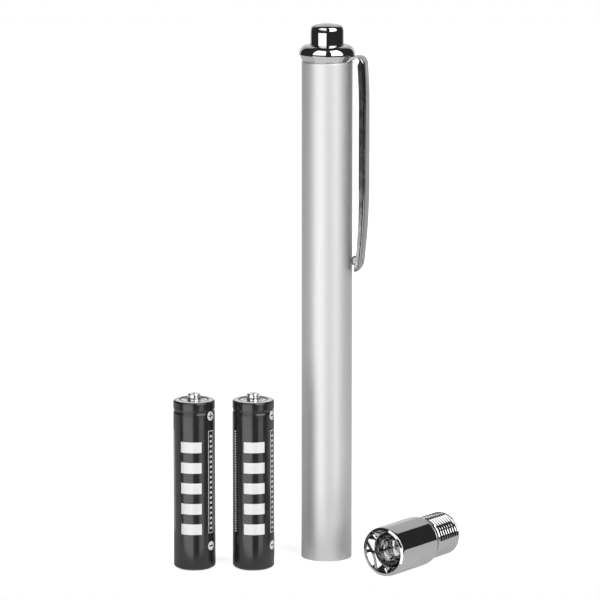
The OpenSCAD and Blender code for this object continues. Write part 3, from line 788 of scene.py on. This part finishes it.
@dataclass
class Clip:
    """The pocket clip, in one strip: ring, tongue, bend and a folded channel with a round, dimpled tip.

    Its own axes are the distance from the barrel's axis, the place across its width, and the height.
    """

    half_w: float = 2.3
    sheet: float = 0.4
    reach: float = 10.5
    bow_z: float = 105.0
    bow_flat: float = 9.0
    bow_r: float = 160.0
    depths: Pair = (1.55, 1.1)
    ring_r: Pair = (5.65, 6.1)
    ring_z: Pair = (126.0, 126.4)
    ramp_r: Pair = (6.0, 6.8)
    tongue_top: float = 127.4
    bend_r: float = 2.0
    bend_z: float = 125.4
    fold_r: float = 0.5
    fold_shares: Pair = (0.6, 0.9)
    edge_r: float = 0.12
    crown: float = 0.07
    walls_from: float = 80.0
    splay: Pair = (0.235, 0.27)
    bottom: float = 73.3
    tip_z: float = 76.15
    tip_h: float = 3.6
    tip_nose: float = 1.9
    tip_angle: float = 12.0
    plan_h: float = 1.8
    dimple_z: float = 76.1
    dimple: Pair = (1.3, 0.91)
    dimple_apex: float = 6.45
    dent: float = 0.22
    dent_share: float = 1.6
    blend_angles: Pair = (76.0, 30.0)

    def face(self, z: Array | float) -> Array | float:
        """Distance of the outer face: the reach less a parabola beyond the flat of the bow."""
        return self.reach - np.maximum(0.0, np.abs(z - self.bow_z) - self.bow_flat) ** 2 / (2 * self.bow_r)

    def bend(self, degrees: Sequence[float]) -> Array:
        """Points of the bend's outer line, at angles above the level."""
        return np.array([self.face(self.bend_z) - self.bend_r, self.bend_z]) + self.bend_r * polar(degrees)

    def stations(self) -> tuple[Array, ...]:
        """The strip's outer line, as the ramp's outline, the bend's arc, the bowed face and an elliptic nose.

        The side walls grow smoothly over the bend and shrink evenly towards the tip, an ellipse in plan too.

        Returns:
            The place and outward direction in the clip's plane, the half width, the depths of the side walls and
            of the sheet's inner face, and the splay, at each station.
        """
        sheet, low, top, middle = self.sheet, self.ring_z[1], self.tongue_top, self.bottom + self.tip_h
        tip_x, (deep, tip_deep), straight = self.face(self.tip_z), self.depths, self.bow_z - self.bow_flat
        nose_x = tip_x - self.tip_nose * math.cos(math.radians(self.tip_angle))
        ramp = outline([[self.ring_r[1] - sheet, low], [self.ramp_r[0], low, 0.3], [self.ramp_r[1], top, 0.4]],
                       [[self.bend([90])[0, 0], top]], loop=False)
        turn, arm_z = np.linspace(90, 0, 40)[1:], np.linspace(self.bend_z, self.tip_z, 90)[1:]
        nose = arc((nose_x, middle), (self.tip_nose, -self.tip_h), self.tip_angle, 90, 35)[1:]
        place = np.vstack([ramp, self.bend(turn), np.column_stack([self.face(arm_z), arm_z]), nose])
        x, z = place[:, :1], place[:, 1:]
        angle = np.r_[turn, np.zeros(len(arm_z) + len(nose))]
        out = np.vstack([unit(np.gradient(ramp, axis=0))[:, ::-1] * [-1, 1], polar(angle)])
        grown = ease(np.clip(1 - np.r_[np.full(len(ramp), 90), angle] / self.walls_from, 0, 1))[:, None]
        shrunk = np.clip((straight - z) / (straight - self.tip_z), 0, 1)
        back = np.interp(z, [self.bottom, self.tip_z], [nose_x, tip_x - tip_deep])
        hollow = np.clip((middle - z) / (self.tip_h - sheet), 0, 1)
        inner_x = nose_x + (self.tip_nose - sheet) * np.sqrt(1 - hollow**2)
        walls = np.where(z < self.tip_z, np.maximum(x - back, 0.0),
                         sheet + (deep - sheet) * grown + (tip_deep - deep) * shrunk)
        inner = np.where(z < self.tip_z, x - np.maximum(inner_x, back), sheet)
        plan = np.clip((self.bottom + self.plan_h - z) / self.plan_h, 0, 1)
        half = self.half_w * np.sqrt(np.maximum(0.0, 1 - plan**2))
        return place, out, half, walls, inner, np.interp(z, [self.tip_z, self.bow_z], self.splay)

    def section(self, half: Array, walls: Array, inner: Array, lean: Array) -> tuple[Array, Array]:
        """The strip's closed section: straight walls, quarter circles at the folds, half ones round the edges.

        The face is crowned by a parabola, and the walls lean out by the splay times the depth.

        Args:
            half: Half width at each station.
            walls: Depth of the side walls.
            inner: Depth of the sheet's inner face.
            lean: The splay.

        Returns:
            The place across the width and the depth below the outer face, as stations by points.
        """
        thick, edge = np.minimum(self.sheet, half), np.minimum(self.edge_r, walls / 4)
        fold = self.edge_r + (self.fold_r - self.edge_r) * np.clip(walls - self.sheet, 0, 1)
        fold = np.minimum(np.minimum(fold, self.fold_shares[0] * half), self.fold_shares[1] * walls)
        tight = np.minimum(np.maximum(fold - thick, 0.0), np.maximum(walls - inner, 0.0) / 2)
        up, q = np.linspace(1, 0, 7), np.linspace(0, math.pi / 2, 9)[1:]
        across, hem = np.linspace(-1, 1, 25)[1:-1], np.linspace(0, math.pi, 7)[1:-1]
        (outer_b, outer_n), (inner_b, inner_n) = (
            (np.hstack([0 * up - wide, r * (1 - np.cos(q)) - wide]),
             np.hstack([low + r + (walls - low - r) * up, low + r * (1 - np.sin(q))]))
            for wide, low, r in ((half, 0.0, fold), (half - thick, inner, tight)))
        face_n = -self.crown * (1 - across**2) * np.minimum(1.0, half / self.half_w)
        hem_b, hem_n = half - thick / 2 + thick / 2 * np.cos(hem), walls + edge * np.sin(hem)
        b = np.hstack([
            outer_b, (half - fold) * across, -outer_b[:, ::-1], hem_b, -inner_b, inner_b[:, ::-1], -hem_b[:, ::-1]])
        n = np.hstack([outer_n, face_n, outer_n[:, ::-1], hem_n, inner_n, inner_n[:, ::-1], hem_n[:, ::-1]])
        lean = lean * np.clip((walls - self.sheet) / self.sheet, 0, 1) * (np.maximum(n, 0) - walls / 2)
        return b + np.sign(b) * lean * np.minimum(1.0, np.abs(b) / half), n

    def strip(self) -> Surface:
        """The strip: each station's place, less the section's depth along its outward direction.

        The dimple leaves a dent outside, which falls as exp(-distance^2 / (dimple radius / share)^2).
        """
        place, out, *sizes = self.stations()
        b, n = self.section(*sizes)
        z = place[:, 1:]
        away = ((z - self.dimple_z) ** 2 + b**2) / (self.dimple[0] / self.dent_share) ** 2
        n = n + self.dent * np.exp(-away) * np.clip(1 - n / self.sheet, 0, 1) * (z < self.bow_z)
        return capped(np.stack([place[:, :1] - out[:, :1] * n, b, z - out[:, 1:] * n], axis=-1))

    def nub(self) -> Surface:
        """The dimple's inside: a rounded nub turned about the line towards the barrel's axis."""
        root, (r, h) = self.face(self.dimple_z) - self.sheet / 2, self.dimple
        ball = turned(arc((0.0, self.dimple_apex + h), (r, h), -90, 0, 14), [[r, root], [0.0, root]],
                      columns=COARSEST, loop=False).points
        return Surface(np.stack([ball[..., 2], ball[..., 0], ball[..., 1] + self.dimple_z], axis=-1))

    def build(self, wardrobe: Wardrobe) -> None:
        """Makes the clip in one piece that rides on no body, and bakes its place into its mesh."""
        (r0, r1), (z0, z1) = self.ring_r, self.ring_z
        ring = turned([[r0, z0, 0.05], [r1, z0, 0.08], [r1, z1, 0.08], [r0, z1, 0.05]], columns=MEDIUM)
        piece = wardrobe.fit("clip_strip", Slot.CLIP, Body.CLIP, ["clip_tongue", "clip_arm"],
                             ring, self.strip(), self.nub(), rides=False)
        ends = Body.CLIP.place.to_frame(np.insert(self.bend(self.blend_angles), 1, 0.0, axis=1))
        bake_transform(piece)


@dataclass
class Head:
    """The chromed head, along its own axis from the lip: shell, shoulder, relief, threaded neck and reflector."""

    radius: float = 6.2
    shell_len: float = 14.8
    shoulder_s: float = 15.7
    relief: Pair = (5.05, 16.4)
    end_s: float = 25.9
    chamfer: float = 0.6
    neck_bore_r: float = 4.0
    cavity: Pair = (5.8, 10.0)
    lip: Pair = (5.4, 0.6)
    lip_round: Pair = (0.75, 0.22)
    lip_edge: Pair = (0.1, 0.8)
    thread: Thread = Thread(5.4, 16.5, 25.25)
    bowl_front: float = 0.65
    bowl_len: float = 7.5
    bowl_r: Triple = (5.5, 4.35, 2.2)
    band: float = 0.26
    bowl_wall: float = 0.5
    flange: Pair = (5.75, 0.8)
    collar: Pair = (3.6, 9.95)

    def shell(self) -> Surface:
        """The turned shell with its thread: an outer and an inner wall that meet at the lip and at the end."""
        r, end, neck_r, shoulder, (groove_r, groove_s) = (
            self.radius, self.end_s, self.thread.wall_r, self.shoulder_s, self.relief)
        (lip_r, lip_s), (cavity_r, cavity_s), face_r = self.lip, self.cavity, r - self.lip_round[0]
        outer = turned(
            [[face_r, 0.0], [r - self.lip_edge[0], self.lip_round[1], 0.12], [r, self.lip_edge[1], 0.5]],
            [[r, self.shell_len, 0.25], [neck_r, shoulder, 0.1], [groove_r, shoulder, 0.1], [groove_r, groove_s, 0.1]],
            [[neck_r, groove_s]], self.thread.wall(), [[neck_r, end - self.chamfer], [neck_r - self.chamfer, end]],
            loop=False, relief=self.thread.relief)
        inner = turned(
            [[self.neck_bore_r, end], [self.neck_bore_r, cavity_s], [cavity_r, cavity_s], [cavity_r, lip_s]],
            [[lip_r, lip_s], [lip_r, 0.0, 0.08], [face_r, 0.0]], loop=False)
        return Surface(np.concatenate([outer.points, inner.points]), loop_rows=True)

    def bowl(self, t: Array, out: float = 0.0) -> Array:
        """Points a share t of the way back in the bowl, whose radius is more by out.

        The radius falls evenly over the front band, and then as the square root of a straight fall of its square.
        """
        front, middle, back = self.bowl_r
        deep = np.sqrt(middle**2 - (middle**2 - back**2) * np.clip((t - self.band) / (1 - self.band), 0, 1))
        radius = np.where(t < self.band, front + (middle - front) * t / self.band, deep)
        return np.column_stack([radius + out, self.bowl_front + self.bowl_len * t])

    def reflector(self) -> Surface:
        """The turned reflector: the bowl, its back behind the flange, the front flange and the rear collar."""
        t, (flange_r, flange_t), (r, end) = np.linspace(0, 1, 49), self.flange, self.collar
        back, brim = self.bowl(t, self.bowl_wall), self.bowl_front + flange_t
        back = back[(back[:, 1] > brim) & (back[:, 0] > r)][::-1]
        return turned(self.bowl(t), [[self.bowl_r[2], end], [r, end], [r, self.bowl_front + self.bowl_len]], back,
                      [[flange_r, brim], [flange_r, self.bowl_front]])

    def build(self, wardrobe: Wardrobe) -> None:
        """Makes the head's two pieces and seats them."""
        wardrobe.fit("shell_and_neck", Slot.CHROME, Body.HEAD, ["head_shell"], self.shell())
        wardrobe.fit("reflector_bowl", Slot.MIRROR, Body.HEAD, ["reflector"], self.reflector())


@dataclass
class Bulb:
    """The lens-ended bulb, along the head's axis: glass, flanged base, bead, solder tip and coiled filament."""

    glass_r: float = 2.0
    front: float = 3.6
    lens_t: float = 1.4
    glass_wall: float = 0.4
    glass_end: float = 15.0
    flange: Pair = (10.0, 10.7)
    flange_r: float = 3.9
    base_r: float = 2.9
    base_wall: float = 0.35
    base_end: float = 24.1
    neck_r: float = 2.5
    bead_r: float = 2.2
    bead_end: float = 25.4
    tip: Pair = (1.0, 26.7)
    fit_gap: float = 0.05
    filament_s: float = 7.55
    filament_half: float = 0.75
    filament_r: float = 0.12
    filament_wire: float = 0.05
    filament_turns: int = 11

    def glass(self) -> Surface:
        """The envelope: a ball front, a straight side, a drawn-in neck and a bore with its own round end."""
        r, neck, bore, (low, high) = self.glass_r, self.neck_r, self.glass_r - self.glass_wall, self.flange
        return turned(
            arc((0.0, self.front + r), (r, r), -90, 0, 28), [[r, high, 0.3], [neck, high + high - low, 0.3]],
            [[neck, self.glass_end], [bore, self.glass_end]],
            arc((0.0, self.front + r + self.lens_t), (bore, bore), 0, -90, 28), columns=MEDIUM, loop=False)

    def base(self) -> Surface:
        """The drawn metal base with its flange and its crimped end."""
        r, (low, high), end, wall = self.base_r, self.flange, self.base_end, self.base_wall
        lip, bore, crimp = self.glass_r + self.fit_gap, r - wall, self.bead_r - wall
        return turned(
            [[lip, low, 0.1], [self.flange_r, low, 0.25], [self.flange_r, high, 0.25], [r, high, 0.15], [r, end, 0.35]],
            [[crimp, end, 0.1], [crimp, end - wall], [bore, end - wall], [bore, high], [lip, high]], columns=MEDIUM)

    def bead(self) -> Surface:
        """The black glass bead under the tip."""
        start, end, r, out = self.base_end, self.bead_end, self.bead_r, self.tip[0] + self.base_wall
        return turned([[0.0, start], [r, start, 0.1], [r, (start + end) / 2, 0.4], [out, end, 0.2], [0.0, end]],
                      columns=MEDIUM, loop=False)

    def stud(self) -> Surface:
        """The solder tip: a short stud with a round end."""
        r, end = self.tip
        return turned([[0.0, self.bead_end], [r, self.bead_end, 0.05]], arc((0.0, end - r), (r, r), 0, 90, 14),
                      columns=COARSE, loop=False)

    def filament(self) -> Surface:
        """The coiled filament: a fine helix across the posts, along the head's x axis."""
        u = np.linspace(0, 1, self.filament_turns * 16)
        loops = np.array([0.0, self.filament_s]) + self.filament_r * polar(360 * self.filament_turns * u)
        return wire(np.column_stack([self.filament_half * (2 * u - 1), loops]), self.filament_wire, 6)

    def build(self, wardrobe: Wardrobe) -> None:
        """Makes the bulb's pieces and seats them."""
        for name, slot, node, surface in (
                ("bulb_envelope", Slot.GLASS, "bulb_glass", self.glass()),
                ("bulb_cap", Slot.NICKEL, "bulb_base", self.base()),
                ("bulb_insulator", Slot.BLACK_GLASS, "bulb_bead", self.bead()),
                ("bulb_contact", Slot.SOLDER, "bulb_tip", self.stud()),
                ("filament_coil", Slot.TUNGSTEN, "filament", self.filament())):
            wardrobe.fit(name, slot, Body.BULB, [node], surface)


@dataclass
class Cell:
    """A cell: its shrink film with the folded ends and the crimp's groove, its dished cap and its foot."""

    body: Body
    radius: float = 5.2
    film: float = 0.15
    film_z: Pair = (0.35, 42.9)
    corner: float = 0.6
    openings: Pair = (4.3, 3.35)
    crimp: Pair = (40.2, 0.7)
    crimp_depth: float = 0.14
    dish: Pair = (3.7, 42.75)
    dish_t: float = 0.3
    groove: Pair = (2.8, 0.25)
    nub_r: float = 1.65
    length: float = 44.5
    pip: Pair = (0.4, 0.15)
    plate: Pair = (4.2, 0.45)
    foot_dish: Pair = (2.7, 0.15)

    def relief(self, r: Array, z: Array, angle: Array) -> Array:
        """The crimp's groove round the film: a cosine hollow about its height, the same at every angle."""
        t = np.clip((z - self.crimp[0]) / self.crimp[1], -1, 1)
        return self.crimp_depth * (1 + np.cos(math.pi * t)) / 2 + 0 * r * angle

    def jacket(self) -> Surface:
        """The film, folded over both ends."""
        r, f, (low, top), (foot, head), (z, half) = self.radius, self.film, self.film_z, self.openings, self.crimp
        side, c = run(r, z - half, z + half, 16), self.corner
        below, above, outer, inner = (r - c, low + c), (r - c, top - c), (c, c), (c - f, c - f)
        return turned(
            [[foot, low, 0.06]], arc(below, outer, -90, 0, 12), side, arc(above, outer, 0, 90, 12),
            [[head, top, 0.06], [head, top - f, 0.05]], arc(above, inner, 90, 0, 8), side[::-1] - [f, 0],
            arc(below, inner, 0, -90, 8), [[foot, low + f, 0.05]], relief=self.relief)

    def cap(self) -> Surface:
        """The tinned cap: dish, pressed groove and nub with its pip."""
        (r, z), (groove_r, groove_d), (pip_r, pip_h), nub, top = (
            self.dish, self.groove, self.pip, self.nub_r, self.length)
        return turned(
            [[0.0, z - self.dish_t], [r, z - self.dish_t, 0.05], [r, z, 0.12], [groove_r, z, 0.15]],
            [[groove_r - groove_d, z - groove_d, 0.15], [nub + groove_d, z - groove_d, 0.15], [nub, z, 0.12]],
            [[nub, top - pip_h, 0.35], [pip_r, top - pip_h, 0.12], [pip_r / 2, top, 0.08], [0.0, top]],
            columns=MEDIUM, loop=False)

    def foot(self) -> Surface:
        """The foot plate with its shallow dish."""
        (r, depth), (edge, thick) = self.foot_dish, self.plate
        return turned([[0.0, depth], [r - depth, depth, 0.1], [r, 0.0, 0.1], [edge, 0.0, 0.15], [edge, thick, 0.1]],
                      [[0.0, thick]], columns=MEDIUM, loop=False)

    def build(self, wardrobe: Wardrobe) -> None:
        """Makes the cell's outer pieces and seats them."""
        for part, slot, surface in (("jacket", Slot.JACKET, self.jacket()), ("cap", Slot.TINNED, self.cap()),
                                    ("foot", Slot.TINNED, self.foot())):
            node = f"{self.body.value}_{part}"
            wardrobe.fit(f"{node}_fine", slot, self.body, [node], surface)


@dataclass(frozen=True)
class Panel:
    """A soft panel of light, in degrees rightwards from the camera's side, and leftwards too where mirrored."""

    azimuth: Pair
    elevation: Pair
    glow: float
    soft: float
    mirrored: bool = False


@dataclass
class Studio:
    """The pale table, the soft panels round it and the camera."""

    room: float = 0.03
    panels: tuple[Panel, ...] = (
        Panel((-62, -6), (-40, -3), 1.9, 3.0),
        Panel((-62, -6), (10, 62), 1.6, 3.0),
        Panel((18, 68), (6, 62), 3.2, 3.0),
        Panel((28, 56), (-30, -10), 1.6, 2.0),
        Panel((139, 190), (-90, 52), 0.55, 4.0, True),
        Panel((139, 190), (-90, 22), 0.75, 8.0, True),
        Panel((66, 200), (-100, -16), 0.6, 4.0, True),
        Panel((-10, 200), (-100, -40), 0.8, 20.0, True),
    )
    table_x: Pair = (-0.7, 0.7)
    table_y: Pair = (-0.03, 1.2)
    table_white: float = 0.88
    table_lift: Pair = (0.04, 0.74)
    lens: float = 241.0
    clip_range: Pair = (0.1, 10.0)
    pitch: float = 0.181
    stand: Triple = (-0.0067, -0.9876, 0.2465)

    def light(self) -> None:
        """Makes the world, where the brightest panel counts and the camera itself sees plain white.

        Each panel is its glow times a smooth window on the azimuth and one on the elevation.
        """
        world = bpy.data.worlds.new("studio")
        bpy.context.scene.world = world
        graph = Graph(world)
        x, y, z = graph.split(graph.add("TexCoord", {})["Generated"])
        azimuth = graph.math("DEGREES", graph.math("ARCTAN2", x, graph.math("MULTIPLY", y, -1.0)))
        sides = azimuth, graph.math("ABSOLUTE", azimuth)
        elevation = graph.math("DEGREES", graph.math("ARCSINE", z))
        glow: Feed = self.room
        for panel in self.panels:
            across = graph.window(sides[panel.mirrored], *panel.azimuth, panel.soft)
            shape = graph.math("MULTIPLY", across, graph.window(elevation, *panel.elevation, panel.soft))
            glow = graph.math("MAXIMUM", glow, graph.math("MULTIPLY", shape, panel.glow))
        strength = graph.math("MAXIMUM", glow, graph.add("LightPath", {})["Is Camera Ray"])
        graph.add("OutputWorld", {"Surface": graph.add("Background", {"Color": (1.0,) * 4, "Strength": strength})[0]})

    def table(self) -> None:
        """Lays the pale table: matt grey for its reflections, and lifted to white for the camera."""
        (x0, x1), (y0, y1), (glow, lift) = self.table_x, self.table_y, self.table_lift
        mesh = bpy.data.meshes.new("table")
        mesh.from_pydata([(x0, y0, 0), (x1, y0, 0), (x1, y1, 0), (x0, y1, 0)], [], [(0, 1, 2, 3)])
        table = bpy.data.objects.new("table", mesh)
        bpy.context.scene.collection.objects.link(table)
        material = bpy.data.materials.new("table_paper")
        graph = Graph(material)
        paper = graph.add("BsdfDiffuse", {"Color": tinted((self.table_white,) * 3)})[0]
        seen = graph.math("MULTIPLY", graph.add("LightPath", {})["Is Camera Ray"], lift)
        light = graph.add("Emission", {"Strength": graph.math("ADD", seen, glow)})[0]
        graph.add("OutputMaterial", {"Surface": graph.add("AddShader", {0: paper, 1: light})[0]})
        mesh.materials.append(material)

    def build(self) -> None:
        """Sets up the light, the table and the level camera, which looks along +Y and a little down."""
        bpy.context.scene.view_settings.view_transform = "Standard"
        self.light()
        self.table()
        data = bpy.data.cameras.new("camera")
        data.lens, (data.clip_start, data.clip_end) = self.lens, self.clip_range
        camera = bpy.data.objects.new("camera", data)
        camera.location, camera.rotation_euler = self.stand, (math.pi / 2 - self.pitch, 0.0, 0.0)
        bpy.context.scene.collection.objects.link(camera)
        bpy.context.scene.camera = camera


def main() -> None:
    """Loads the frame, sets up the studio and builds the looks of every sub-assembly."""
    logging.basicConfig(level=logging.INFO, format="%(name)s: %(message)s")
    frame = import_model()
    wardrobe = Wardrobe()
    Studio().build()
    wardrobe.dress_nodes(frame)
    for assembly in (
            Tube(), TailCap(), Button(), Coil("tail_coil", "tail_spring", 3.2, 0.6, 98.5, 103.2, 4),
            Coil("return_coil", "return_spring", 4.05, 0.45, 111.6, 125.7, 9, travel=2.0), Clip(), Head(), Bulb(),
            Cell(Body.CELL_A), Cell(Body.CELL_B)):
        assembly.build(wardrobe)


if __name__ == "__main__":
    main()
